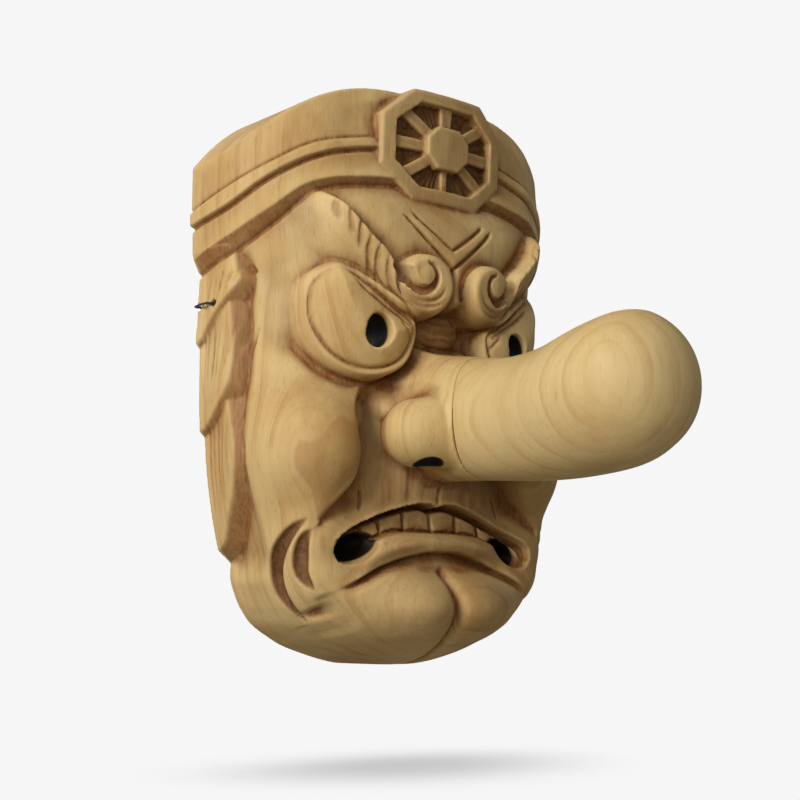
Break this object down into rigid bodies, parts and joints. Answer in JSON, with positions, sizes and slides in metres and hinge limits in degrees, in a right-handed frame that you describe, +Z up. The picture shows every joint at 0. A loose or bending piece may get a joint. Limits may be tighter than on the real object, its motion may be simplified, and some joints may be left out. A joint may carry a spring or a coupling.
{
  "type": "noh mask",
  "caption": "Carved wooden long-nosed noh mask: hollow shell with browband, octagonal ornament and pierced eyes, plug-in club nose and a hanging cord.",
  "frame": {"origin": "middle of the back rim's width under the chin, in the plane of the rim", "axes": "+X to the viewer's right of the face, +Y out of the back of the mask (the face looks along -Y), +Z up from chin to crown"},
  "size_m": [0.141, 0.1498, 0.194],
  "materials": {
    "carved_wood": "bare, hand-carved, matt",
    "nose_wood": "bare, sanded, slight sheen",
    "black_cord": "twisted thread"
  },
  "bodies": {
    "shell": {"mask_shell": "carved_wood", "cord_loop_left": "black_cord", "cord_loop_right": "black_cord"},
    "nose": {"nose": "nose_wood"},
    "cord": {"hanging_cord": "black_cord"}
  },
  "joints": [
    {"name": "nose_pull", "type": "slide", "parent": "shell", "child": "nose", "axis": [0, -1, 0], "range_m": [0, 0.03]},
    {"name": "cord_swing", "type": "hinge", "parent": "shell", "child": "cord", "pos_m": [0, -0.0034, 0.1145], "axis": [-1, 0, 0], "range_deg": [-70, 170]}
  ]
}
